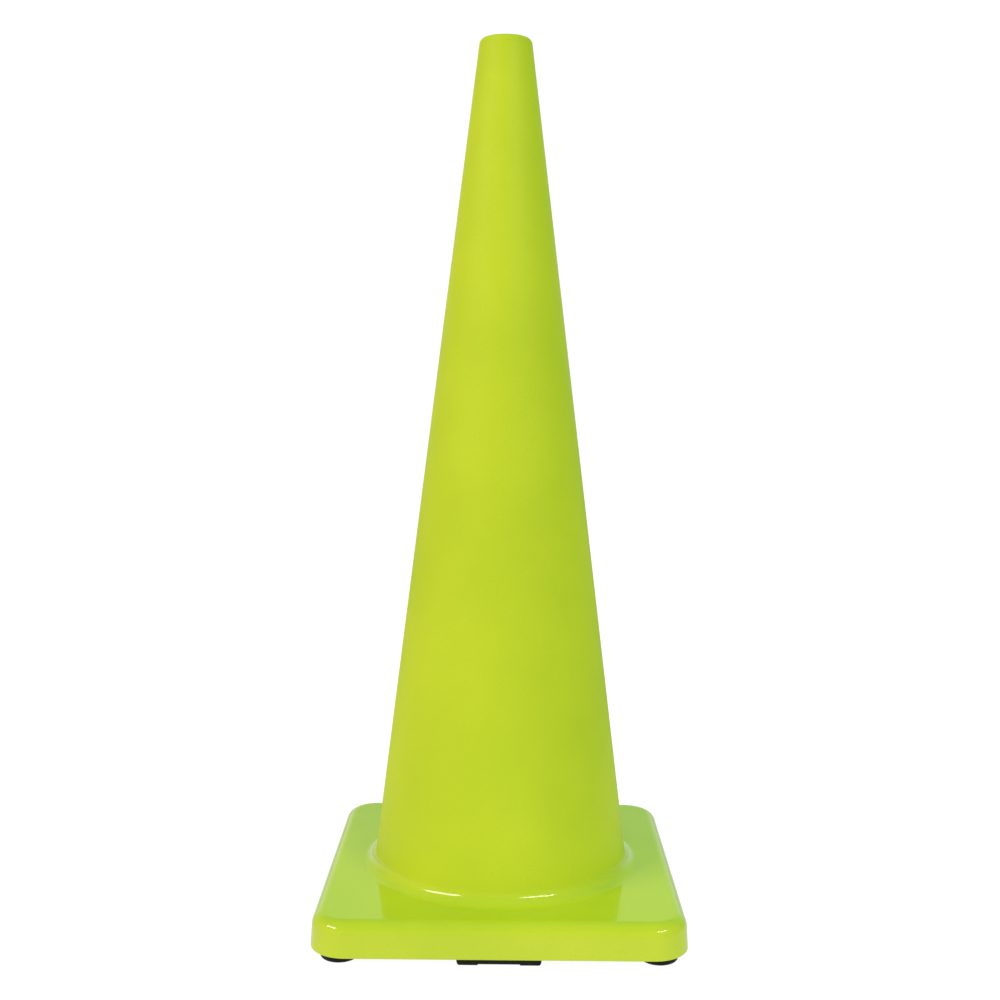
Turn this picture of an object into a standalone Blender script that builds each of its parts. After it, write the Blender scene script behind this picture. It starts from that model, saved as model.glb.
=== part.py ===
"""Traffic cone with a square weighted base, 36 inches tall.

The cone and the cover of its base are one thin moulding. A ballast ring fills
the underside of the cover, and eight feet plug into the ballast from below.

Metres, +Z up. The origin is on the ground, on the cone's axis. The sides of
the base are square to X and Y, and -Y is the front.
"""

import math

import bmesh
import bpy
from mathutils import Matrix, Vector

# Overall size.
HEIGHT = 0.9144
BASE_HALF = 0.1867
BASE_TOP = 0.0443
SKIRT_BOTTOM = 0.0095
SIDE_DRAFT = 0.0014
CORNER_RADIUS = 0.037
EDGE_RADIUS = 0.013
LIP_CHAMFER = 0.0008

# The cone's outer wall is straight. Its radius is given where the wall's line
# meets the height of the base's top and the height of the cone's tip.
CONE_FOOT_RADIUS = 0.1367
CONE_TIP_RADIUS = 0.0267
FILLET_REACH = 0.015
FILLET_RISE = 0.015
SHOULDER_RADIUS = 0.007
HOLE_RADIUS = 0.0175
HOLE_CHAMFER = 0.0008
TIP_THICKNESS = 0.0035

# Wall thicknesses of the moulding.
CONE_WALL = 0.0025
COVER_WALL = 0.003

# Ballast ring.
GAP = 0.0003
WEIGHT_BOTTOM = 0.014
WEIGHT_MOUTH_RADIUS = 0.1395
WEIGHT_THROAT_RADIUS = 0.1385
MOUTH_CHAMFER = 0.003
WEIGHT_EDGE_RADIUS = 0.003

# Feet.
FOOT_CENTRE = 0.157
FOOT_RADIUS = 0.0195
FOOT_ROUND = 0.0035
SPIGOT_RADIUS = 0.0085
SPIGOT_HEIGHT = 0.009
BAR_FRONT = 0.179
BAR_DEPTH = 0.022
BAR_LENGTH = 0.083
BAR_ROUND = 0.003
BAR_PAD_LENGTH = 0.0205
BAR_PAD_DROP = 0.001

# Facets.
CORNER_STEPS = 6
SIDE_STEPS = 12
RING_POINTS = 4 * (CORNER_STEPS + SIDE_STEPS)
FOOT_POINTS = 28
SPIGOT_POINTS = 16
ARC_STEPS = 5

WALL_SLOPE = (CONE_FOOT_RADIUS - CONE_TIP_RADIUS) / (HEIGHT - BASE_TOP)
WALL_ANGLE = math.atan(WALL_SLOPE)


def clear_scene():
    for obj in list(bpy.data.objects):
        bpy.data.objects.remove(obj, do_unlink=True)


def make_material(name, colour, roughness):
    material = bpy.data.materials.new(name)
    material.use_nodes = True
    shader = material.node_tree.nodes["Principled BSDF"]
    shader.inputs["Base Color"].default_value = (*colour, 1.0)
    shader.inputs["Roughness"].default_value = roughness
    shader.inputs["Metallic"].default_value = 0.0
    return material


def wall_radius(z):
    """Outer radius of the cone's straight wall at height z."""
    return CONE_FOOT_RADIUS - (z - BASE_TOP) * WALL_SLOPE


def square_ring(half, z, corner=None):
    """Rounded square, anticlockwise from the +X side's end at the +X +Y corner."""
    if corner is None:
        corner = CORNER_RADIUS - (BASE_HALF - half)
    centre = half - corner
    ring = []
    for quarter in range(4):
        turn = Matrix.Rotation(math.radians(90 * quarter), 3, "Z")
        for step in range(CORNER_STEPS + 1):
            angle = math.radians(90) * step / CORNER_STEPS
            x = centre + corner * math.cos(angle)
            y = centre + corner * math.sin(angle)
            ring.append(turn @ Vector((x, y, z)))
        for step in range(1, SIDE_STEPS):
            x = centre - 2 * centre * step / SIDE_STEPS
            ring.append(turn @ Vector((x, half, z)))
    return ring


def circle_ring(radius, z):
    """Circle with as many points as a square ring, lined up with its corners."""
    pitch = math.radians(360) / RING_POINTS
    start = math.radians(45) - pitch * CORNER_STEPS / 2
    ring = []
    for step in range(RING_POINTS):
        angle = start + pitch * step
        ring.append(Vector((radius * math.cos(angle), radius * math.sin(angle), z)))
    return ring


def loft(name, rings, material):
    """Closed ring-shaped body whose section passes through each ring in turn."""
    mesh = bpy.data.meshes.new(name)
    work = bmesh.new()
    loops = [[work.verts.new(point) for point in ring] for ring in rings]
    count = len(rings[0])
    for index, lower in enumerate(loops):
        upper = loops[(index + 1) % len(loops)]
        for step in range(count):
            after = (step + 1) % count
            work.faces.new((lower[step], lower[after], upper[after], upper[step]))
    bmesh.ops.recalc_face_normals(work, faces=work.faces)
    work.to_mesh(mesh)
    work.free()
    return add_object(name, mesh, material)


def add_object(name, mesh, material):
    mesh.materials.append(material)
    mesh.shade_smooth()
    mesh.set_sharp_from_angle(angle=math.radians(30))
    obj = bpy.data.objects.new(name, mesh)
    bpy.context.scene.collection.objects.link(obj)
    return obj


def side_half(z):
    """Half width of the skirt's outer face, which leans in as it rises."""
    rise = (z - SKIRT_BOTTOM) / (BASE_TOP - EDGE_RADIUS - SKIRT_BOTTOM)
    return BASE_HALF - SIDE_DRAFT * min(rise, 1.0)


def edge_rings(inset):
    """Round top edge of the base, or a surface that lies inset inside it."""
    radius = EDGE_RADIUS - inset
    centre_half = BASE_HALF - SIDE_DRAFT - EDGE_RADIUS
    centre_z = BASE_TOP - EDGE_RADIUS
    rings = []
    for step in range(ARC_STEPS + 1):
        angle = math.radians(90) * step / ARC_STEPS
        half = centre_half + radius * math.cos(angle)
        corner = CORNER_RADIUS - SIDE_DRAFT - EDGE_RADIUS + radius * math.cos(angle)
        rings.append(square_ring(half, centre_z + radius * math.sin(angle), corner))
    return rings


def fillet_rings(inset):
    """Concave fillet from the base's top up to the cone's wall, or its inside."""
    end = math.atan(FILLET_REACH / (FILLET_RISE * WALL_SLOPE))
    centre_z = BASE_TOP + FILLET_RISE
    touch_z = centre_z - FILLET_RISE * math.cos(end)
    centre_r = wall_radius(touch_z) + FILLET_REACH * math.sin(end)
    reach = FILLET_REACH + inset * CONE_WALL
    rise = FILLET_RISE + inset * COVER_WALL
    rings = []
    for step in range(ARC_STEPS + 1):
        angle = end * step / ARC_STEPS
        radius = centre_r - reach * math.sin(angle)
        rings.append(circle_ring(radius, centre_z - rise * math.cos(angle)))
    return rings


def shoulder_rings():
    """Convex shoulder between the cone's wall and its flat tip."""
    centre_z = HEIGHT - SHOULDER_RADIUS
    touch_z = centre_z + SHOULDER_RADIUS * math.sin(WALL_ANGLE)
    centre_r = wall_radius(touch_z) - SHOULDER_RADIUS * math.cos(WALL_ANGLE)
    rings = []
    for step in range(ARC_STEPS + 1):
        angle = WALL_ANGLE + (math.radians(90) - WALL_ANGLE) * step / ARC_STEPS
        radius = centre_r + SHOULDER_RADIUS * math.cos(angle)
        rings.append(circle_ring(radius, centre_z + SHOULDER_RADIUS * math.sin(angle)))
    return rings


def tip_rings():
    """The hole in the tip, and the inside of the shoulder under it."""
    inner_top = HEIGHT - TIP_THICKNESS
    inner_low = HEIGHT - SHOULDER_RADIUS
    inner_radius = wall_radius(inner_low) - CONE_WALL / math.cos(WALL_ANGLE)
    return [
        circle_ring(HOLE_RADIUS + HOLE_CHAMFER, HEIGHT),
        circle_ring(HOLE_RADIUS, HEIGHT - HOLE_CHAMFER),
        circle_ring(HOLE_RADIUS, inner_top),
        circle_ring(inner_radius - (inner_top - inner_low), inner_top),
        circle_ring(inner_radius, inner_low),
    ]


def make_cone_skin(material):
    outer_lip = [
        square_ring(BASE_HALF - LIP_CHAMFER, SKIRT_BOTTOM),
        square_ring(BASE_HALF, SKIRT_BOTTOM + LIP_CHAMFER),
    ]
    inner_lip = [
        square_ring(BASE_HALF - COVER_WALL, SKIRT_BOTTOM + LIP_CHAMFER),
        square_ring(BASE_HALF - COVER_WALL + LIP_CHAMFER, SKIRT_BOTTOM),
    ]
    outside = outer_lip + edge_rings(0.0) + fillet_rings(0) + shoulder_rings()
    inside = list(reversed(fillet_rings(1))) + list(reversed(edge_rings(COVER_WALL))) + inner_lip
    return loft("cone_skin", outside + tip_rings() + inside, material)


def make_base_weight(material):
    """Ballast ring with blind sockets for the feet's spigots."""
    inset = COVER_WALL + GAP
    low_half = side_half(WEIGHT_BOTTOM + WEIGHT_EDGE_RADIUS) - inset
    corner = CORNER_RADIUS - inset
    weight_top = BASE_TOP - inset
    rings = []
    for step in range(3):
        angle = math.radians(90) * step / 2
        half = low_half - WEIGHT_EDGE_RADIUS * (1 - math.sin(angle))
        z = WEIGHT_BOTTOM + WEIGHT_EDGE_RADIUS * (1 - math.cos(angle))
        rings.append(square_ring(half, z, corner - (low_half - half)))
    rings += edge_rings(inset)
    rings.append(circle_ring(WEIGHT_THROAT_RADIUS, weight_top))
    rings.append(circle_ring(WEIGHT_MOUTH_RADIUS, WEIGHT_BOTTOM + MOUTH_CHAMFER))
    rings.append(circle_ring(WEIGHT_MOUTH_RADIUS + MOUTH_CHAMFER, WEIGHT_BOTTOM))
    weight = loft("base_weight", rings, material)
    cut = weight.modifiers.new("sockets", "BOOLEAN")
    cut.operation = "DIFFERENCE"
    cut.object = make_socket_cutter()
    return weight


def spigot_places():
    """Centre of each spigot: one over a round foot, two over a bar foot."""
    places = []
    bar_y = BAR_FRONT - BAR_DEPTH / 2
    pad_x = (BAR_LENGTH - BAR_PAD_LENGTH) / 2
    for quarter in range(4):
        turn = Matrix.Rotation(math.radians(90 * quarter), 3, "Z")
        places.append(turn @ Vector((FOOT_CENTRE, FOOT_CENTRE, 0)))
        places.append(turn @ Vector((pad_x, bar_y, 0)))
        places.append(turn @ Vector((-pad_x, bar_y, 0)))
    return places


def make_socket_cutter():
    """The sockets' shapes, which only cut the ballast ring."""
    mesh = bpy.data.meshes.new("socket_cutter")
    work = bmesh.new()
    height = SPIGOT_HEIGHT + GAP
    low = WEIGHT_BOTTOM - 0.005
    depth = WEIGHT_BOTTOM + height - low
    for place in spigot_places():
        shift = Matrix.Translation(place + Vector((0, 0, low + depth / 2)))
        bmesh.ops.create_cone(
            work, cap_ends=True, segments=SPIGOT_POINTS, radius1=SPIGOT_RADIUS + GAP,
            radius2=SPIGOT_RADIUS + GAP, depth=depth, matrix=shift)
    work.to_mesh(mesh)
    work.free()
    cutter = bpy.data.objects.new("socket_cutter", mesh)
    bpy.context.scene.collection.objects.link(cutter)
    cutter.hide_render = True
    cutter.display_type = "WIRE"
    return cutter


def stack_rings(work, rings):
    """Closed body through rings of equal count, capped at both ends."""
    loops = [[work.verts.new(point) for point in ring] for ring in rings]
    count = len(rings[0])
    for lower, upper in zip(loops, loops[1:]):
        for step in range(count):
            after = (step + 1) % count
            work.faces.new((lower[step], lower[after], upper[after], upper[step]))
    work.faces.new(list(reversed(loops[0])))
    work.faces.new(loops[-1])


def disc_ring(radius, z, points):
    pitch = math.radians(360) / points
    ring = []
    for step in range(points):
        angle = pitch * step
        ring.append(Vector((radius * math.cos(angle), radius * math.sin(angle), z)))
    return ring


def make_round_foot(name, material, x, y):
    """Domed disc with a spigot, turned about its own axis."""
    top = WEIGHT_BOTTOM - GAP
    rings = []
    for step in range(4):
        angle = math.radians(90) * step / 3
        radius = FOOT_RADIUS - FOOT_ROUND * (1 - math.sin(angle))
        rings.append(disc_ring(radius, FOOT_ROUND * (1 - math.cos(angle)), FOOT_POINTS))
    rings.append(disc_ring(FOOT_RADIUS, top, FOOT_POINTS))
    rings.append(disc_ring(SPIGOT_RADIUS, top, FOOT_POINTS))
    rings.append(disc_ring(SPIGOT_RADIUS, top + SPIGOT_HEIGHT, FOOT_POINTS))
    mesh = bpy.data.meshes.new(name)
    work = bmesh.new()
    stack_rings(work, rings)
    work.to_mesh(mesh)
    work.free()
    foot = add_object(name, mesh, material)
    foot.location = (x, y, 0)
    return foot


def bar_section(x):
    """Section of a bar foot across its length, at x from its middle."""
    top = WEIGHT_BOTTOM - GAP
    past = max(0.0, abs(x) - (BAR_LENGTH / 2 - BAR_ROUND)) / BAR_ROUND
    inset = BAR_ROUND * (1 - math.sqrt(max(0.0, 1 - past ** 2)))
    half = BAR_DEPTH / 2 - inset
    on_pad = abs(x) > BAR_LENGTH / 2 - BAR_PAD_LENGTH
    low = inset + (0.0 if on_pad else BAR_PAD_DROP)
    section = [Vector((x, -half, top)), Vector((x, half, top))]
    for side in (1, -1):
        arc = []
        for step in range(4):
            angle = math.radians(90) * step / 3
            y = half - BAR_ROUND * (1 - math.cos(angle))
            z = low + BAR_ROUND * (1 - math.sin(angle))
            arc.append(Vector((x, side * y, z)))
        section += arc if side == 1 else list(reversed(arc))
    return section


def bar_stations():
    """Places along a bar foot where its section changes."""
    half = BAR_LENGTH / 2
    pad_end = half - BAR_PAD_LENGTH
    round_end = half - BAR_ROUND
    stations = [pad_end - BAR_PAD_DROP, pad_end + BAR_PAD_DROP / 4]
    for step in range(4):
        stations.append(round_end + BAR_ROUND * math.sin(math.radians(90) * step / 3))
    return [-x for x in reversed(stations)] + stations


def make_bar_foot(name, material, quarter):
    """Bar with a pad at each end and two spigots, turned to its side of the base."""
    mesh = bpy.data.meshes.new(name)
    work = bmesh.new()
    stack_rings(work, [bar_section(x) for x in bar_stations()])
    bmesh.ops.recalc_face_normals(work, faces=work.faces)
    work.to_mesh(mesh)
    work.free()
    foot = add_object(name, mesh, material)
    turn = Matrix.Rotation(math.radians(90 * quarter), 4, "Z")
    foot.matrix_world = turn @ Matrix.Translation((0, BAR_DEPTH / 2 - BAR_FRONT, 0))
    join = foot.modifiers.new("spigots", "BOOLEAN")
    join.operation = "UNION"
    join.object = make_spigot_guide(name + "_spigots", foot)
    return foot


def make_spigot_guide(name, foot):
    """The two spigots of a bar foot, which are joined to it."""
    mesh = bpy.data.meshes.new(name)
    work = bmesh.new()
    root = WEIGHT_BOTTOM - 0.004
    top = WEIGHT_BOTTOM - GAP + SPIGOT_HEIGHT
    pad_x = (BAR_LENGTH - BAR_PAD_LENGTH) / 2
    for x in (-pad_x, pad_x):
        shift = Matrix.Translation((x, 0, (root + top) / 2))
        bmesh.ops.create_cone(
            work, cap_ends=True, segments=SPIGOT_POINTS, radius1=SPIGOT_RADIUS,
            radius2=SPIGOT_RADIUS, depth=top - root, matrix=shift)
    work.to_mesh(mesh)
    work.free()
    guide = bpy.data.objects.new(name, mesh)
    bpy.context.scene.collection.objects.link(guide)
    guide.parent = foot
    guide.hide_render = True
    guide.display_type = "WIRE"
    return guide


def main():
    clear_scene()
    lime = make_material("lime_pvc", (0.54, 0.67, 0.03), 0.3)
    black = make_material("black_recycled_pvc", (0.018, 0.020, 0.016), 0.7)
    rubber = make_material("black_rubber", (0.012, 0.013, 0.011), 0.5)
    make_cone_skin(lime)
    make_base_weight(black)
    for depth_name, y in (("front", -FOOT_CENTRE), ("back", FOOT_CENTRE)):
        for side_name, x in (("left", -FOOT_CENTRE), ("right", FOOT_CENTRE)):
            make_round_foot(f"foot_{depth_name}_{side_name}", rubber, x, y)
    for quarter, side_name in enumerate(("front", "right", "back", "left")):
        make_bar_foot(f"foot_bar_{side_name}", rubber, quarter)


main()
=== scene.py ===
"""Looks for the 36 inch traffic cone: fine meshes, materials, floor, lights and camera.

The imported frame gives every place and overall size. Metres, +Z up, -Y the front.
"""

import math

import bmesh
import bpy
import numpy as np
from mathutils import Matrix, Vector, noise


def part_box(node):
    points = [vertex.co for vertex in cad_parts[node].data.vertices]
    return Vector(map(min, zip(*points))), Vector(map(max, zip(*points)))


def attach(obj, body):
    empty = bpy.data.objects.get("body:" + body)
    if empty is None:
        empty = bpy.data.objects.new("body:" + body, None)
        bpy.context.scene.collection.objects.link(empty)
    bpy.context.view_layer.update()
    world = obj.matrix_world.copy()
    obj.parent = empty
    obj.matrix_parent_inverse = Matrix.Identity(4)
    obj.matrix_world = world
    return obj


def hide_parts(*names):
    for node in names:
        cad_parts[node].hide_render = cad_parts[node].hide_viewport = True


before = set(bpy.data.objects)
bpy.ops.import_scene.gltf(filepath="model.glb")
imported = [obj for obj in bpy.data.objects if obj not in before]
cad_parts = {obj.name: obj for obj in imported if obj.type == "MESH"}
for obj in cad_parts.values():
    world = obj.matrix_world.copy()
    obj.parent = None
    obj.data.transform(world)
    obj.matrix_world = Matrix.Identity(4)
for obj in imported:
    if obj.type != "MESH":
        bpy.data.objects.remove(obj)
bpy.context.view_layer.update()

QUARTER = math.radians(90)

# Overall places, read from the frame.
SKIN_LOW, SKIN_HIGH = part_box("cone_skin")
WEIGHT_LOW, WEIGHT_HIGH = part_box("base_weight")
ROUND_LOW, ROUND_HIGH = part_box("foot_front_right")
BAR_LOW, BAR_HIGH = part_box("foot_bar_front")
HEIGHT = SKIN_HIGH.z
BASE_HALF = SKIN_HIGH.x
SKIRT_BOTTOM = SKIN_LOW.z
WEIGHT_BOTTOM = WEIGHT_LOW.z
SPIGOT_TOP = ROUND_HIGH.z
FOOT_CENTRE = (ROUND_LOW.x + ROUND_HIGH.x) / 2
FOOT_RADIUS = (ROUND_HIGH.x - ROUND_LOW.x) / 2
BAR_MIDDLE = (BAR_LOW.y + BAR_HIGH.y) / 2

# The lime moulding's own shape, as in the CAD part.
BASE_TOP = 0.0443
SIDE_DRAFT = 0.0014
CORNER_RADIUS = 0.037
EDGE_RADIUS = 0.013
LIP_ROUND = 0.0008
CONE_FOOT_RADIUS = 0.1367
CONE_TIP_RADIUS = 0.0267
FILLET_REACH = 0.0150
FILLET_RISE = 0.0150
SHOULDER_RADIUS = 0.007
HOLE_RADIUS = 0.0175
HOLE_ROUND = 0.0010
TIP_THICKNESS = 0.0035
CONE_WALL = 0.0025
COVER_WALL = 0.003
GAP = 0.0003
WALL_SLOPE = (CONE_FOOT_RADIUS - CONE_TIP_RADIUS) / (HEIGHT - BASE_TOP)
WALL_ANGLE = math.atan(WALL_SLOPE)

# The ballast ring.
MOUTH_RADIUS = 0.1395
THROAT_RADIUS = 0.1385
MOUTH_ROUND = 0.003
WEIGHT_EDGE = 0.003
EJECTOR_RADIUS = 0.006
EJECTOR_DEPTH = 0.0006
EJECTOR_OFFSET = 0.085
CUT_MARGIN = 0.005
WEIGHT_SHARP = math.radians(40)

# The ballast's coarse surface. The bias keeps it inside the plain shape.
ROUGH_HEIGHT = 0.00012
ROUGH_SCALE = 90.0
ROUGH_MARGIN = 0.001
ROUGH_BIAS = 0.75
FINE_SHARE = 0.5
FINE_RATIO = 3

# The feet.
FOOT_TOP = WEIGHT_BOTTOM - GAP
FOOT_ROUND = 0.0035
FOOT_RIM = 0.0008
SOLE_CENTRE = 0.004
SPIGOT_RADIUS = 0.0085
SPIGOT_ROUND = 0.001
SPIGOT_ROOT = 0.003
BAR_ROUND = 0.003
BAR_PAD_LENGTH = 0.0205
BAR_PAD_DROP = 0.001
PAD_MIDDLE = BAR_HIGH.x - BAR_PAD_LENGTH / 2
FOOT_SHARP = math.radians(35)

# Mesh density. A ring beside a round edge holds that edge's shading.
CORNER_STEPS = 24
SIDE_STEPS = 40
RING_POINTS = 4 * (CORNER_STEPS + SIDE_STEPS)
HOLD = 0.0004
OUTSIDE_STEPS = {"skirt": 8, "edge": 20, "flat": 10, "fillet": 20, "wall": 90}
INSIDE_STEPS = {"skirt": 4, "edge": 10, "flat": 4, "fillet": 10, "wall": 60}
SHOULDER_STEPS = 16
HOLE_RINGS = 5
HOLE_UNDER_RINGS = 4
TIP_ROOF_RINGS = 6
LIP_RINGS = 5
WEIGHT_EDGE_RINGS = 9
WEIGHT_ROUND_STEPS = 8
THROAT_RINGS = 12
MOUTH_RINGS = 8
UNDERSIDE_STEPS = 21
FOOT_POINTS = 96
FOOT_RINGS = 12
SMALL_RINGS = 5
BAR_ARC_POINTS = 10
BAR_END_STATIONS = 12
CYLINDER_SEGMENTS = 48

# Ranges for the materials' nodes.
SHARE = (0.0, 1.0)
NOISE_RANGE = (0.3, 0.7)
CLOUD_RANGE = (0.35, 0.65)

# The lime PVC: polished on the base and the fillet's foot, satin above the fillet.
LIME_DEEP = (0.610, 0.705, 0.022)
LIME_PALE = (0.680, 0.755, 0.026)
LIME_GRAIN = (0.52, 0.61, 0.032)
GLOSS_TOP = BASE_TOP + 0.008
SATIN_BOTTOM = BASE_TOP + FILLET_RISE
BASE_ROUGHNESS = (0.08, 0.12)
WALL_ROUGHNESS = (0.48, 0.58)
BASE_SPECULAR = 0.5
WALL_SPECULAR = 0.2

# The blacks of the ballast and of the feet.
RECYCLED_DEEP = (0.012, 0.013, 0.011)
RECYCLED_PALE = (0.026, 0.027, 0.024)
RECYCLED_CHIP = (0.07, 0.075, 0.06)
RUBBER_DEEP = (0.006, 0.007, 0.005)
RUBBER_PALE = (0.012, 0.014, 0.010)
RUBBER_SPECULAR = 0.18

# The floor: white to the camera, and a paler glow near the base for the object.
FLOOR_SIZE = 30.0
FLOOR_ALBEDO = 0.25
FLOOR_GLOW_SEEN = 0.96
GLOW_NEAR = 0.58
GLOW_FAR = 0.22
NEAR_RADIUS = 0.3
FAR_RADIUS = 1.4

# The studio that lights the object: low, middle and high surround, and where they meet,
# as parts of a direction of length 1.
SWEEP_WHITE = (1.05, 1.05, 1.05)
LOW_LEFT = (0.93, 0.83, 0.54)
LOW_RIGHT = (0.36, 0.52, 0.28)
LOW_BACK = (0.95, 1.00, 0.95)
MIDDLE_LEFT = (0.65, 0.58, 0.34)
MIDDLE_RIGHT = (0.36, 0.67, 0.34)
MIDDLE_BACK = (0.80, 1.05, 0.55)
HIGH = (0.04, 0.34, 0.31)
LEFT_TO_RIGHT = (-0.7, 0.7)
LOW_FRONT_TO_BACK = (0.5, 0.9)
MIDDLE_FRONT_TO_BACK = (0.5, 0.85)
LOW_TO_MIDDLE = (0.15, 0.27)
MIDDLE_TO_HIGH = (0.50, 0.65)

# The softboxes. Brightness is the radiance of a face.
LIGHT_AIM = Vector((0, 0, 0.05))
LIGHT_DISTANCE = 6.0
LIGHT_BRIGHTNESS = 17.5
LIGHT_COLOUR = (1.0, 0.92, 0.88)

# The camera, below the tip and looking slightly down.
CAMERA_PLACE = (0.0060, -1.4591, 0.5915)
CAMERA_HEADING = math.radians(-0.354)
CAMERA_DIP = math.radians(6.070)
CAMERA_ROLL = math.radians(0.382)
CAMERA_LENS = 49.53
CAMERA_SENSOR = 36.0


# ---------------------------------------------------------------- rings


def square_ring(half, z, corner):
    """Rounded square, anticlockwise, as rows of x, y, z."""
    centre = half - corner
    arc = np.linspace(0.0, QUARTER, CORNER_STEPS + 1)
    run = np.linspace(centre, -centre, SIDE_STEPS + 1)[1:-1]
    x = np.concatenate([centre + corner * np.cos(arc), run])
    y = np.concatenate([centre + corner * np.sin(arc), np.full(len(run), half)])
    quarters = []
    for quarter in range(4):
        cos, sin = round(math.cos(QUARTER * quarter)), round(math.sin(QUARTER * quarter))
        quarters.append(np.stack([cos * x - sin * y, sin * x + cos * y, np.full(len(x), z)], 1))
    return np.concatenate(quarters)


def circle_points(x, y, radius, z, angle):
    return np.stack([x + radius * np.cos(angle), y + radius * np.sin(angle), np.full(len(angle), z)], 1)


def circle_ring(radius, z):
    """Circle with its points lined up with those of a square ring."""
    pitch = math.radians(360) / RING_POINTS
    start = math.radians(45) - pitch * CORNER_STEPS / 2
    return circle_points(0.0, 0.0, radius, z, start + pitch * np.arange(RING_POINTS))


def mesh_from_rings(name, rings):
    """Closed ring-shaped mesh whose section passes through each ring in turn."""
    points = np.concatenate(rings)
    count = len(rings[0])
    total = len(rings)
    faces = []
    for row in range(total):
        low = row * count
        high = ((row + 1) % total) * count
        for step in range(count):
            after = (step + 1) % count
            faces.append((low + step, low + after, high + after, high + step))
    mesh = bpy.data.meshes.new(name)
    mesh.from_pydata(points.tolist(), [], faces)
    mesh.update()
    return mesh


def add_piece(name, mesh, node, material):
    """Puts a finished mesh in the scene in place of one CAD node."""
    mesh.materials.append(material)
    mesh.shade_smooth()
    piece = bpy.data.objects.new(name, mesh)
    bpy.context.scene.collection.objects.link(piece)
    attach(piece, "root")
    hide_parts(node)


# ---------------------------------------------------------------- cone skin


def wall_radius(z):
    return CONE_FOOT_RADIUS - (z - BASE_TOP) * WALL_SLOPE


def side_half(z):
    """Half width of the base at a height on its drafted side."""
    rise = (z - SKIRT_BOTTOM) / (BASE_TOP - EDGE_RADIUS - SKIRT_BOTTOM)
    return BASE_HALF - SIDE_DRAFT * min(max(rise, 0.0), 1.0)


def skirt_ring(z, inset):
    half = side_half(z) - inset
    return square_ring(half, z, CORNER_RADIUS - (BASE_HALF - half))


def skirt_rings(inset, count):
    low = SKIRT_BOTTOM + 2 * LIP_ROUND
    high = BASE_TOP - EDGE_RADIUS - HOLD
    return [skirt_ring(z, inset) for z in np.linspace(low, high, count)]


def edge_rings(inset, steps):
    """Round top edge of the base, from the skirt up to the flat top."""
    radius = EDGE_RADIUS - inset
    centre_half = BASE_HALF - SIDE_DRAFT - EDGE_RADIUS
    centre_corner = CORNER_RADIUS - SIDE_DRAFT - EDGE_RADIUS
    centre_z = BASE_TOP - EDGE_RADIUS
    rings = []
    for angle in np.linspace(0.0, QUARTER, steps + 1):
        out = radius * math.cos(angle)
        rings.append(square_ring(centre_half + out, centre_z + radius * math.sin(angle), centre_corner + out))
    return rings


def flat_rings(inset, steps):
    """The flat top of the base, from its edge to the fillet's foot."""
    z = BASE_TOP - inset
    centre_half = BASE_HALF - SIDE_DRAFT - EDGE_RADIUS
    centre_corner = CORNER_RADIUS - SIDE_DRAFT - EDGE_RADIUS
    outer = square_ring(centre_half - HOLD, z, centre_corner - HOLD)
    inner = circle_ring(fillet_centre()[0] + HOLD, z)
    return [outer + (inner - outer) * share for share in np.linspace(0.0, 1.0, steps + 1)]


def fillet_centre():
    """Radius and height of the fillet's centre, and the angle where it meets the wall."""
    end = math.atan(FILLET_REACH / (FILLET_RISE * WALL_SLOPE))
    centre_z = BASE_TOP + FILLET_RISE
    touch_z = centre_z - FILLET_RISE * math.cos(end)
    return wall_radius(touch_z) + FILLET_REACH * math.sin(end), centre_z, end


def fillet_rings(layer, steps):
    """Concave fillet from the flat top of the base up to the cone's wall."""
    centre_r, centre_z, end = fillet_centre()
    reach = FILLET_REACH + layer * CONE_WALL
    rise = FILLET_RISE + layer * COVER_WALL
    rings = []
    for angle in np.linspace(0.0, end, steps + 1):
        rings.append(circle_ring(centre_r - reach * math.sin(angle), centre_z - rise * math.cos(angle)))
    return rings


def wall_rings(layer, low, high, steps):
    back = layer * CONE_WALL / math.cos(WALL_ANGLE)
    return [circle_ring(wall_radius(z) - back, z) for z in np.linspace(low, high, steps + 1)]


def face_rings(layer, steps):
    """One face of the shell from the skirt to the shoulder: layer 0 is outside, 1 inside."""
    inset = layer * COVER_WALL
    fillet_z, fillet_end = fillet_centre()[1:]
    wall_low = fillet_z - FILLET_RISE * math.cos(fillet_end) + HOLD
    wall_high = HEIGHT - SHOULDER_RADIUS - layer * HOLD
    rings = skirt_rings(inset, steps["skirt"])
    rings += edge_rings(inset, steps["edge"])
    rings += flat_rings(inset, steps["flat"])
    rings += fillet_rings(layer, steps["fillet"])
    rings += wall_rings(layer, wall_low, wall_high, steps["wall"])
    return rings


def shoulder_rings(steps):
    """Convex shoulder between the cone's wall and its flat tip."""
    centre_z = HEIGHT - SHOULDER_RADIUS
    touch_z = centre_z + SHOULDER_RADIUS * math.sin(WALL_ANGLE)
    centre_r = wall_radius(touch_z) - SHOULDER_RADIUS * math.cos(WALL_ANGLE)
    rings = []
    for angle in np.linspace(WALL_ANGLE, QUARTER, steps + 1):
        radius = centre_r + SHOULDER_RADIUS * math.cos(angle)
        rings.append(circle_ring(radius, centre_z + SHOULDER_RADIUS * math.sin(angle)))
    return rings


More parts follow.
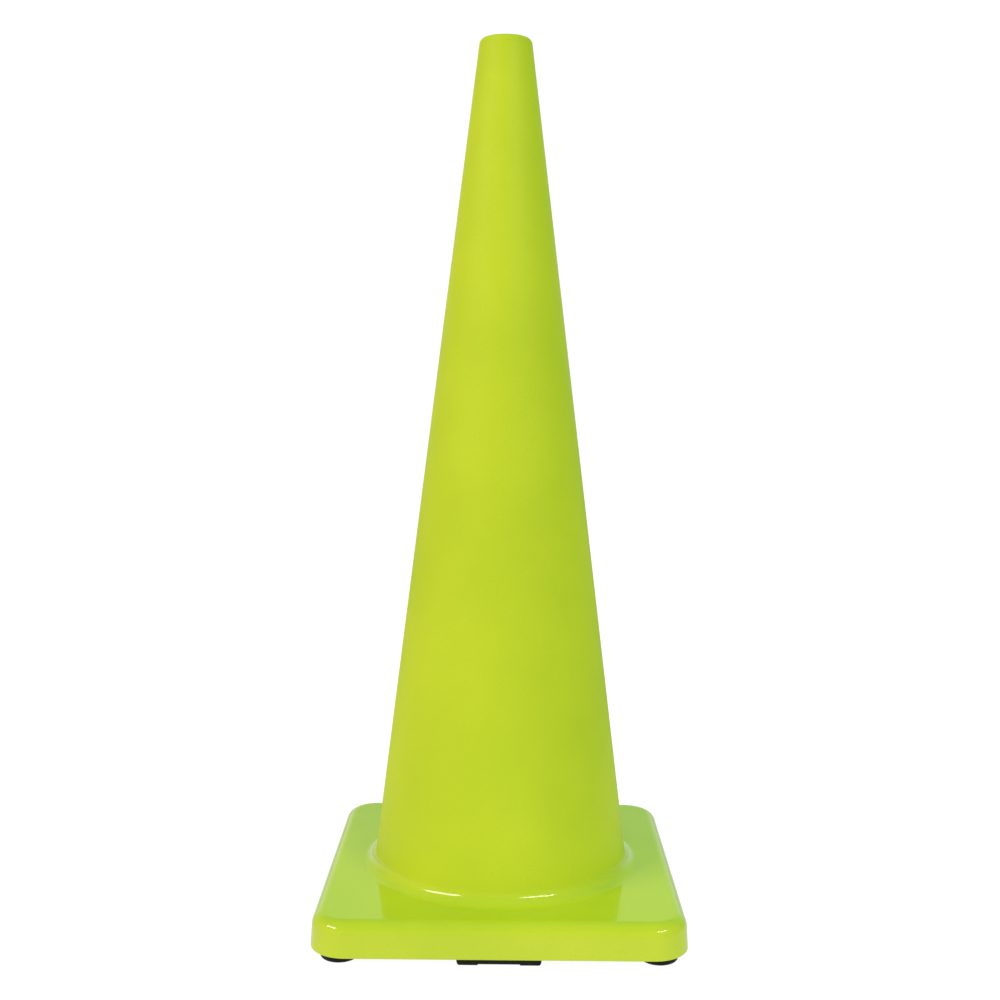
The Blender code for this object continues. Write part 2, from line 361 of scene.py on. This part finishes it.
def tip_rings():
    """Rounded hole in the tip and the underside of the shoulder."""
    rings = []
    for angle in np.linspace(0.0, QUARTER, HOLE_RINGS):
        radius = HOLE_RADIUS + HOLE_ROUND * (1 - math.sin(angle))
        rings.append(circle_ring(radius, HEIGHT - HOLE_ROUND * (1 - math.cos(angle))))
    inner_top = HEIGHT - TIP_THICKNESS
    for angle in np.linspace(0.0, QUARTER, HOLE_UNDER_RINGS):
        radius = HOLE_RADIUS + HOLE_ROUND * (1 - math.cos(angle))
        rings.append(circle_ring(radius, inner_top + HOLE_ROUND * (1 - math.sin(angle))))
    round_low = HEIGHT - SHOULDER_RADIUS
    inner_radius = wall_radius(round_low) - CONE_WALL / math.cos(WALL_ANGLE)
    inner_round = inner_top - round_low
    for angle in np.linspace(QUARTER, 0.0, TIP_ROOF_RINGS):
        radius = inner_radius - inner_round * (1 - math.cos(angle))
        rings.append(circle_ring(radius, round_low + inner_round * math.sin(angle)))
    return rings


def lip_rings():
    """Round bottom edge of the skirt, from its inner to its outer face."""
    centre_z = SKIRT_BOTTOM + LIP_ROUND
    inner = []
    outer = []
    for angle in np.linspace(0.0, QUARTER, LIP_RINGS):
        back = LIP_ROUND * (1 - math.cos(angle))
        drop = (0, 0, centre_z - LIP_ROUND * math.sin(angle))
        inner.append(skirt_ring(centre_z, COVER_WALL - back) * (1, 1, 0) + drop)
        outer.append(skirt_ring(centre_z, back) * (1, 1, 0) + drop)
    return inner + list(reversed(outer))


def make_cone_skin(material):
    outside = face_rings(0, OUTSIDE_STEPS) + shoulder_rings(SHOULDER_STEPS)
    inside = list(reversed(face_rings(1, INSIDE_STEPS)))
    mesh = mesh_from_rings("cone_skin_fine", outside + tip_rings() + inside + lip_rings())
    add_piece("cone_skin_fine", mesh, "cone_skin", material)


# ---------------------------------------------------------------- ballast ring


def weight_rings():
    """The ballast from its outer bottom edge, over its top, down the throat and back below."""
    inset = COVER_WALL + GAP
    low_half = side_half(WEIGHT_BOTTOM + WEIGHT_EDGE) - inset
    corner = CORNER_RADIUS - inset
    rings = []
    for angle in np.linspace(0.0, QUARTER, WEIGHT_EDGE_RINGS):
        back = WEIGHT_EDGE * (1 - math.sin(angle))
        z = WEIGHT_BOTTOM + WEIGHT_EDGE * (1 - math.cos(angle))
        rings.append(square_ring(low_half - back, z, corner - back))
    rings += edge_rings(inset, WEIGHT_ROUND_STEPS)
    rings.append(circle_ring(THROAT_RADIUS, WEIGHT_HIGH.z))
    top_of_round = WEIGHT_BOTTOM + MOUTH_ROUND
    for share in np.linspace(0.02, 1.0, THROAT_RINGS):
        z = WEIGHT_HIGH.z + (top_of_round - WEIGHT_HIGH.z) * share
        rings.append(circle_ring(THROAT_RADIUS + (MOUTH_RADIUS - THROAT_RADIUS) * share, z))
    for angle in np.linspace(0.0, QUARTER, MOUTH_RINGS)[1:]:
        radius = MOUTH_RADIUS + MOUTH_ROUND * (1 - math.cos(angle))
        rings.append(circle_ring(radius, top_of_round - MOUTH_ROUND * math.sin(angle)))
    first, last = rings[-1], rings[0]
    shares = np.linspace(0.0, 1.0, UNDERSIDE_STEPS + 1)[1:-1]
    return rings + [first + (last - first) * share for share in shares]


def roughen(mesh, lowest, highest):
    """Moves the vertices between two heights in a little, like a coarse moulding."""
    for vertex in mesh.vertices:
        if lowest <= vertex.co.z <= highest:
            place = vertex.co * ROUGH_SCALE
            lift = noise.noise(place) + FINE_SHARE * noise.noise(place * FINE_RATIO)
            vertex.co += vertex.normal * ROUGH_HEIGHT * (lift - ROUGH_BIAS)


def on_four_sides(front_places):
    """Places on the front side of the base, repeated on all four sides."""
    places = []
    for quarter in range(4):
        turn = Matrix.Rotation(QUARTER * quarter, 3, "Z")
        places += [turn @ Vector((x, y, 0)) for x, y in front_places]
    return places


def spigot_places():
    return on_four_sides([(FOOT_CENTRE, FOOT_CENTRE), (PAD_MIDDLE, -BAR_MIDDLE), (-PAD_MIDDLE, -BAR_MIDDLE)])


def ejector_places():
    """Shallow round marks on the underside, one each side of every bar foot."""
    return on_four_sides([(-EJECTOR_OFFSET, -BAR_MIDDLE), (EJECTOR_OFFSET, -BAR_MIDDLE)])


def cylinders(name, places, radius, low, high):
    """One mesh of upright cylinders, for a Boolean."""
    mesh = bpy.data.meshes.new(name)
    work = bmesh.new()
    for place in places:
        shift = Matrix.Translation((place.x, place.y, (low + high) / 2))
        bmesh.ops.create_cone(
            work, cap_ends=True, segments=CYLINDER_SEGMENTS, radius1=radius, radius2=radius,
            depth=high - low, matrix=shift)
    work.to_mesh(mesh)
    work.free()
    tool = bpy.data.objects.new(name, mesh)
    bpy.context.scene.collection.objects.link(tool)
    return tool


def boolean_mesh(name, mesh, tool, operation):
    """The mesh after an exact Boolean with a tool, which is then removed."""
    holder = bpy.data.objects.new(name, mesh)
    bpy.context.scene.collection.objects.link(holder)
    step = holder.modifiers.new("cut", "BOOLEAN")
    step.operation = operation
    step.object = tool
    depsgraph = bpy.context.evaluated_depsgraph_get()
    made = bpy.data.meshes.new_from_object(holder.evaluated_get(depsgraph))
    made.name = name
    bpy.data.objects.remove(holder)
    bpy.data.objects.remove(tool)
    return made


def make_base_weight(material):
    mesh = mesh_from_rings("base_weight_plain", weight_rings())
    roughen(mesh, WEIGHT_BOTTOM - ROUGH_MARGIN, WEIGHT_HIGH.z - ROUGH_MARGIN)
    below = WEIGHT_BOTTOM - CUT_MARGIN
    sockets = cylinders("sockets", spigot_places(), SPIGOT_RADIUS + GAP, below, SPIGOT_TOP + 2 * GAP)
    mesh = boolean_mesh("base_weight_socketed", mesh, sockets, "DIFFERENCE")
    marks = cylinders("marks", ejector_places(), EJECTOR_RADIUS, below, WEIGHT_BOTTOM + EJECTOR_DEPTH)
    mesh = boolean_mesh("base_weight_fine", mesh, marks, "DIFFERENCE")
    add_piece("base_weight_fine", mesh, "base_weight", material)
    mesh.set_sharp_from_angle(angle=WEIGHT_SHARP)


# ---------------------------------------------------------------- feet


def capped_mesh(name, sections):
    """Closed mesh through sections of equal count, with a flat face at each end."""
    mesh = bpy.data.meshes.new(name)
    work = bmesh.new()
    loops = [[work.verts.new(point) for point in section] for section in sections]
    count = len(sections[0])
    for low, high in zip(loops, loops[1:]):
        for step in range(count):
            after = (step + 1) % count
            work.faces.new((low[step], low[after], high[after], high[step]))
    work.faces.new(list(reversed(loops[0])))
    work.faces.new(loops[-1])
    bmesh.ops.recalc_face_normals(work, faces=work.faces)
    work.to_mesh(mesh)
    work.free()
    return mesh


def turned_profile():
    """Radius and height up a round foot, from its underside to its spigot's top."""
    profile = [(SOLE_CENTRE, 0.0), (FOOT_RADIUS - FOOT_ROUND - HOLD, 0.0)]
    for angle in np.linspace(0.0, QUARTER, FOOT_RINGS):
        radius = FOOT_RADIUS - FOOT_ROUND * (1 - math.sin(angle))
        profile.append((radius, FOOT_ROUND * (1 - math.cos(angle))))
    for angle in np.linspace(0.0, QUARTER, SMALL_RINGS):
        radius = FOOT_RADIUS - FOOT_RIM * (1 - math.cos(angle))
        profile.append((radius, FOOT_TOP - FOOT_RIM * (1 - math.sin(angle))))
    for angle in np.linspace(0.0, QUARTER, SMALL_RINGS):
        profile.append((SPIGOT_RADIUS, FOOT_TOP + SPIGOT_ROUND * math.sin(angle)))
    profile.append((SPIGOT_RADIUS, SPIGOT_TOP - SPIGOT_ROUND))
    profile.append((SPIGOT_RADIUS - SPIGOT_ROUND, SPIGOT_TOP))
    return profile


def add_foot(name, mesh, material):
    add_piece(name + "_fine", mesh, name, material)
    mesh.set_sharp_from_angle(angle=FOOT_SHARP)


def make_round_foot(name, x, y, material):
    angle = np.linspace(0.0, 2 * math.pi, FOOT_POINTS, endpoint=False)
    sections = [circle_points(x, y, radius, z, angle) for radius, z in turned_profile()]
    add_foot(name, capped_mesh(name + "_fine", sections), material)


def smooth_step(value):
    value = min(max(value, 0.0), 1.0)
    return value * value * (3 - 2 * value)


def bar_section(x):
    """Section of a bar foot across its length, at x from its middle."""
    past = max(0.0, abs(x) - (BAR_HIGH.x - BAR_ROUND)) / BAR_ROUND
    inset = BAR_ROUND * (1 - math.sqrt(max(0.0, 1 - past ** 2)))
    half = (BAR_HIGH.y - BAR_LOW.y) / 2 - inset
    off_pad = (BAR_HIGH.x - BAR_PAD_LENGTH - abs(x)) / BAR_PAD_DROP
    low = inset + BAR_PAD_DROP * smooth_step(off_pad)
    arc = []
    for angle in np.linspace(0.0, QUARTER, BAR_ARC_POINTS):
        y = half - BAR_ROUND * (1 - math.cos(angle))
        arc.append((y, low + BAR_ROUND * (1 - math.sin(angle))))
    section = [(x, -half, FOOT_TOP), (x, half, FOOT_TOP)]
    section += [(x, y, z) for y, z in arc]
    section += [(x, -y, z) for y, z in reversed(arc)]
    return section


def bar_stations():
    """Where a bar foot's sections stand, closer together at each pad's step and each end."""
    pad_end = BAR_HIGH.x - BAR_PAD_LENGTH
    end_start = BAR_HIGH.x - BAR_ROUND
    stations = list(np.linspace(0.0, pad_end - BAR_PAD_DROP, 6)[1:])
    stations += list(np.linspace(pad_end - BAR_PAD_DROP, pad_end, 7)[1:])
    stations += list(np.linspace(pad_end, end_start, 5)[1:])
    for angle in np.linspace(0.0, QUARTER, BAR_END_STATIONS)[1:]:
        stations.append(BAR_HIGH.x - BAR_ROUND * (1 - math.sin(angle)))
    return [-x for x in reversed(stations)] + [0.0] + stations


def make_bar_foot(name, quarter, material):
    mesh = capped_mesh(name + "_plain", [bar_section(x) for x in bar_stations()])
    places = [Vector((-PAD_MIDDLE, 0, 0)), Vector((PAD_MIDDLE, 0, 0))]
    spigots = cylinders(name + "_spigots", places, SPIGOT_RADIUS, FOOT_TOP - SPIGOT_ROOT, SPIGOT_TOP)
    mesh = boolean_mesh(name + "_fine", mesh, spigots, "UNION")
    mesh.transform(Matrix.Rotation(QUARTER * quarter, 4, "Z") @ Matrix.Translation((0, BAR_MIDDLE, 0)))
    add_foot(name, mesh, material)


# ---------------------------------------------------------------- materials


def start_material(name, roughness):
    """A material, its node tree, its shader and a vector socket in the object's metres."""
    material = bpy.data.materials.new(name)
    material.use_nodes = True
    tree = material.node_tree
    shader = tree.nodes["Principled BSDF"]
    shader.inputs["Roughness"].default_value = roughness
    place = tree.nodes.new("ShaderNodeTexCoord").outputs["Object"]
    return material, tree, shader, place


def noise_value(tree, place, scale, detail):
    """Noise at a scale per metre, as a value near 0.5."""
    texture = tree.nodes.new("ShaderNodeTexNoise")
    texture.inputs["Scale"].default_value = scale
    texture.inputs["Detail"].default_value = detail
    tree.links.new(place, texture.inputs["Vector"])
    return texture.outputs["Fac"]


def spread(tree, value, source, target):
    """Maps one range of values onto another, clamped."""
    node = tree.nodes.new("ShaderNodeMapRange")
    for key, number in zip(("From Min", "From Max", "To Min", "To Max"), (*source, *target)):
        node.inputs[key].default_value = number
    tree.links.new(value, node.inputs["Value"])
    return node.outputs["Result"]


def blend_values(tree, share, first, second):
    """Mixes two value sockets by a share from 0 to 1."""
    node = tree.nodes.new("ShaderNodeMix")
    tree.links.new(share, node.inputs["Factor"])
    tree.links.new(first, node.inputs["A"])
    tree.links.new(second, node.inputs["B"])
    return node.outputs["Result"]


def blend_colours(tree, share, first, second):
    """Mixes two colours, each a colour or a socket, by a share from 0 to 1."""
    node = tree.nodes.new("ShaderNodeMix")
    node.data_type = "RGBA"
    tree.links.new(share, node.inputs["Factor"])
    for key, colour in (("A", first), ("B", second)):
        socket = [s for s in node.inputs if s.name == key and s.type == "RGBA"][0]
        if isinstance(colour, tuple):
            socket.default_value = (*colour, 1.0)
        else:
            tree.links.new(colour, socket)
    return [s for s in node.outputs if s.type == "RGBA"][0]


def add_bump(tree, height, distance, strength, below=None):
    """Bump from a height socket, on top of an earlier bump's normal."""
    node = tree.nodes.new("ShaderNodeBump")
    node.inputs["Distance"].default_value = distance
    node.inputs["Strength"].default_value = strength
    tree.links.new(height, node.inputs["Height"])
    if below is not None:
        tree.links.new(below, node.inputs["Normal"])
    return node.outputs["Normal"]


def satin_share(tree, place):
    """0 on the polished base and the fillet's foot, 1 on the satin wall above the fillet."""
    split = tree.nodes.new("ShaderNodeSeparateXYZ")
    tree.links.new(place, split.inputs["Vector"])
    return spread(tree, split.outputs["Z"], (GLOSS_TOP, SATIN_BOTTOM), SHARE)


def make_lime():
    """Fluorescent PVC with faint mottle, fine grain, orange peel and a varying gloss."""
    material, tree, shader, place = start_material("lime_pvc", roughness=0.1)
    cloud = noise_value(tree, place, scale=7.0, detail=3.0)
    mottle = blend_colours(tree, spread(tree, cloud, (0.38, 0.62), SHARE), LIME_DEEP, LIME_PALE)
    grain = noise_value(tree, place, scale=900.0, detail=1.0)
    colour = blend_colours(tree, spread(tree, grain, NOISE_RANGE, (0.0, 0.30)), mottle, LIME_GRAIN)
    tree.links.new(colour, shader.inputs["Base Color"])
    satin = satin_share(tree, place)
    polish = noise_value(tree, place, scale=45.0, detail=3.0)
    polished = spread(tree, polish, NOISE_RANGE, BASE_ROUGHNESS)
    matt = spread(tree, polish, NOISE_RANGE, WALL_ROUGHNESS)
    tree.links.new(blend_values(tree, satin, polished, matt), shader.inputs["Roughness"])
    shine = spread(tree, satin, SHARE, (BASE_SPECULAR, WALL_SPECULAR))
    tree.links.new(shine, shader.inputs["Specular IOR Level"])
    peel = noise_value(tree, place, scale=420.0, detail=2.0)
    tree.links.new(add_bump(tree, peel, distance=0.00003, strength=0.35), shader.inputs["Normal"])
    return material


def make_black_recycled():
    """Coarse recycled PVC: near black, flecked, matt."""
    material, tree, shader, place = start_material("black_recycled_pvc", roughness=0.7)
    flecks = tree.nodes.new("ShaderNodeTexVoronoi")
    flecks.inputs["Scale"].default_value = 260.0
    tree.links.new(place, flecks.inputs["Vector"])
    cloud = spread(tree, noise_value(tree, place, scale=25.0, detail=4.0), CLOUD_RANGE, SHARE)
    ground = blend_colours(tree, cloud, RECYCLED_DEEP, RECYCLED_PALE)
    chip = spread(tree, flecks.outputs["Distance"], (0.10, 0.18), (0.35, 0.0))
    tree.links.new(blend_colours(tree, chip, ground, RECYCLED_CHIP), shader.inputs["Base Color"])
    dull = spread(tree, noise_value(tree, place, scale=60.0, detail=3.0), NOISE_RANGE, (0.58, 0.8))
    tree.links.new(dull, shader.inputs["Roughness"])
    lumps = noise_value(tree, place, scale=150.0, detail=5.0)
    coarse = add_bump(tree, lumps, distance=0.0004, strength=0.5)
    surface = add_bump(tree, flecks.outputs["Distance"], distance=0.0002, strength=0.3, below=coarse)
    tree.links.new(surface, shader.inputs["Normal"])
    return material


def make_black_rubber():
    """Satin moulded rubber with a fine skin texture and slight scuffing."""
    material, tree, shader, place = start_material("black_rubber", roughness=0.42)
    cloud = spread(tree, noise_value(tree, place, scale=90.0, detail=4.0), CLOUD_RANGE, SHARE)
    tree.links.new(blend_colours(tree, cloud, RUBBER_DEEP, RUBBER_PALE), shader.inputs["Base Color"])
    scuff = spread(tree, noise_value(tree, place, scale=220.0, detail=3.0), NOISE_RANGE, (0.32, 0.5))
    tree.links.new(scuff, shader.inputs["Roughness"])
    shader.inputs["Specular IOR Level"].default_value = RUBBER_SPECULAR
    skin = noise_value(tree, place, scale=900.0, detail=2.0)
    tree.links.new(add_bump(tree, skin, distance=0.00006, strength=0.4), shader.inputs["Normal"])
    return material


# ---------------------------------------------------------------- stage


def seen_by_camera(tree):
    """1 where the camera itself looks, and 0 for the light that falls on the object."""
    return tree.nodes.new("ShaderNodeLightPath").outputs["Is Camera Ray"]


def floor_glow(tree):
    """The floor's own light: strong to the camera, softer and fading outwards to the object."""
    distance = tree.nodes.new("ShaderNodeVectorMath")
    distance.operation = "LENGTH"
    tree.links.new(tree.nodes.new("ShaderNodeTexCoord").outputs["Object"], distance.inputs[0])
    cast = spread(tree, distance.outputs["Value"], (NEAR_RADIUS, FAR_RADIUS), (GLOW_NEAR, GLOW_FAR))
    seen = spread(tree, seen_by_camera(tree), SHARE, (0.0, FLOOR_GLOW_SEEN))
    glow = tree.nodes.new("ShaderNodeMath")
    glow.operation = "MAXIMUM"
    tree.links.new(cast, glow.inputs[0])
    tree.links.new(seen, glow.inputs[1])
    return glow.outputs["Value"]


def make_floor():
    """Plain pale floor that the camera sees as a white studio sweep."""
    mesh = bpy.data.meshes.new("floor")
    corners = [(-1, -1), (1, -1), (1, 1), (-1, 1)]
    mesh.from_pydata([(FLOOR_SIZE * x, FLOOR_SIZE * y, 0) for x, y in corners], [], [(0, 1, 2, 3)])
    material = bpy.data.materials.new("pale_floor")
    material.use_nodes = True
    tree = material.node_tree
    shader = tree.nodes["Principled BSDF"]
    shader.inputs["Base Color"].default_value = (FLOOR_ALBEDO, FLOOR_ALBEDO, FLOOR_ALBEDO, 1)
    shader.inputs["Roughness"].default_value = 0.9
    shader.inputs["Specular IOR Level"].default_value = 0.0
    shader.inputs["Emission Color"].default_value = (1, 1, 1, 1)
    tree.links.new(floor_glow(tree), shader.inputs["Emission Strength"])
    mesh.materials.append(material)
    floor = bpy.data.objects.new("floor", mesh)
    bpy.context.scene.collection.objects.link(floor)


def make_world():
    """White sweep to the camera. The object is lit by soft tinted walls and a ceiling."""
    world = bpy.data.worlds.new("studio")
    bpy.context.scene.world = world
    world.use_nodes = True
    tree = world.node_tree
    direction = tree.nodes.new("ShaderNodeTexCoord").outputs["Generated"]
    split = tree.nodes.new("ShaderNodeSeparateXYZ")
    tree.links.new(direction, split.inputs["Vector"])
    x, y, z = (split.outputs[axis] for axis in "XYZ")
    across = spread(tree, x, LEFT_TO_RIGHT, SHARE)
    near_low = blend_colours(tree, across, LOW_LEFT, LOW_RIGHT)
    low = blend_colours(tree, spread(tree, y, LOW_FRONT_TO_BACK, SHARE), near_low, LOW_BACK)
    near_middle = blend_colours(tree, across, MIDDLE_LEFT, MIDDLE_RIGHT)
    middle = blend_colours(tree, spread(tree, y, MIDDLE_FRONT_TO_BACK, SHARE), near_middle, MIDDLE_BACK)
    room = blend_colours(tree, spread(tree, z, LOW_TO_MIDDLE, SHARE), low, middle)
    room = blend_colours(tree, spread(tree, z, MIDDLE_TO_HIGH, SHARE), room, HIGH)
    colour = blend_colours(tree, seen_by_camera(tree), room, SWEEP_WHITE)
    tree.links.new(colour, tree.nodes["Background"].inputs["Color"])


def softbox(name, azimuth, elevation, width, height):
    """Distant rectangular light, with its place and size as angles in degrees from the base.

    Azimuth runs from -Y towards +X.
    """
    light = bpy.data.lights.new(name, "AREA")
    light.shape = "RECTANGLE"
    light.size = 2 * LIGHT_DISTANCE * math.tan(math.radians(width) / 2)
    light.size_y = 2 * LIGHT_DISTANCE * math.tan(math.radians(height) / 2)
    light.energy = math.pi * light.size * light.size_y * LIGHT_BRIGHTNESS
    light.color = LIGHT_COLOUR
    turn, tilt = math.radians(azimuth), math.radians(elevation)
    toward = Vector((math.sin(turn) * math.cos(tilt), -math.cos(turn) * math.cos(tilt), math.sin(tilt)))
    lamp = bpy.data.objects.new(name, light)
    lamp.location = LIGHT_AIM + toward * LIGHT_DISTANCE
    lamp.rotation_euler = toward.to_track_quat("Z", "Y").to_euler()
    bpy.context.scene.collection.objects.link(lamp)


def make_camera():
    data = bpy.data.cameras.new("camera")
    data.sensor_width = CAMERA_SENSOR
    data.lens = CAMERA_LENS
    camera = bpy.data.objects.new("camera", data)
    aim = Matrix.Rotation(-CAMERA_HEADING, 4, "Z") @ Matrix.Rotation(QUARTER - CAMERA_DIP, 4, "X")
    camera.matrix_world = Matrix.Translation(CAMERA_PLACE) @ aim @ Matrix.Rotation(CAMERA_ROLL, 4, "Z")
    bpy.context.scene.collection.objects.link(camera)
    bpy.context.scene.camera = camera


# ---------------------------------------------------------------- assembly

lime = make_lime()
black = make_black_recycled()
rubber = make_black_rubber()
make_cone_skin(lime)
make_base_weight(black)
for depth_name, y in (("front", -FOOT_CENTRE), ("back", FOOT_CENTRE)):
    for side_name, x in (("left", -FOOT_CENTRE), ("right", FOOT_CENTRE)):
        make_round_foot(f"foot_{depth_name}_{side_name}", x, y, rubber)
for quarter, side_name in enumerate(("front", "right", "back", "left")):
    make_bar_foot(f"foot_bar_{side_name}", quarter, rubber)

make_floor()
make_world()
softbox("key_left", azimuth=-57.0, elevation=37.0, width=30.0, height=7.0)
softbox("fill_right", azimuth=37.0, elevation=37.5, width=26.0, height=6.5)
make_camera()
bpy.context.scene.view_settings.view_transform = "Standard"
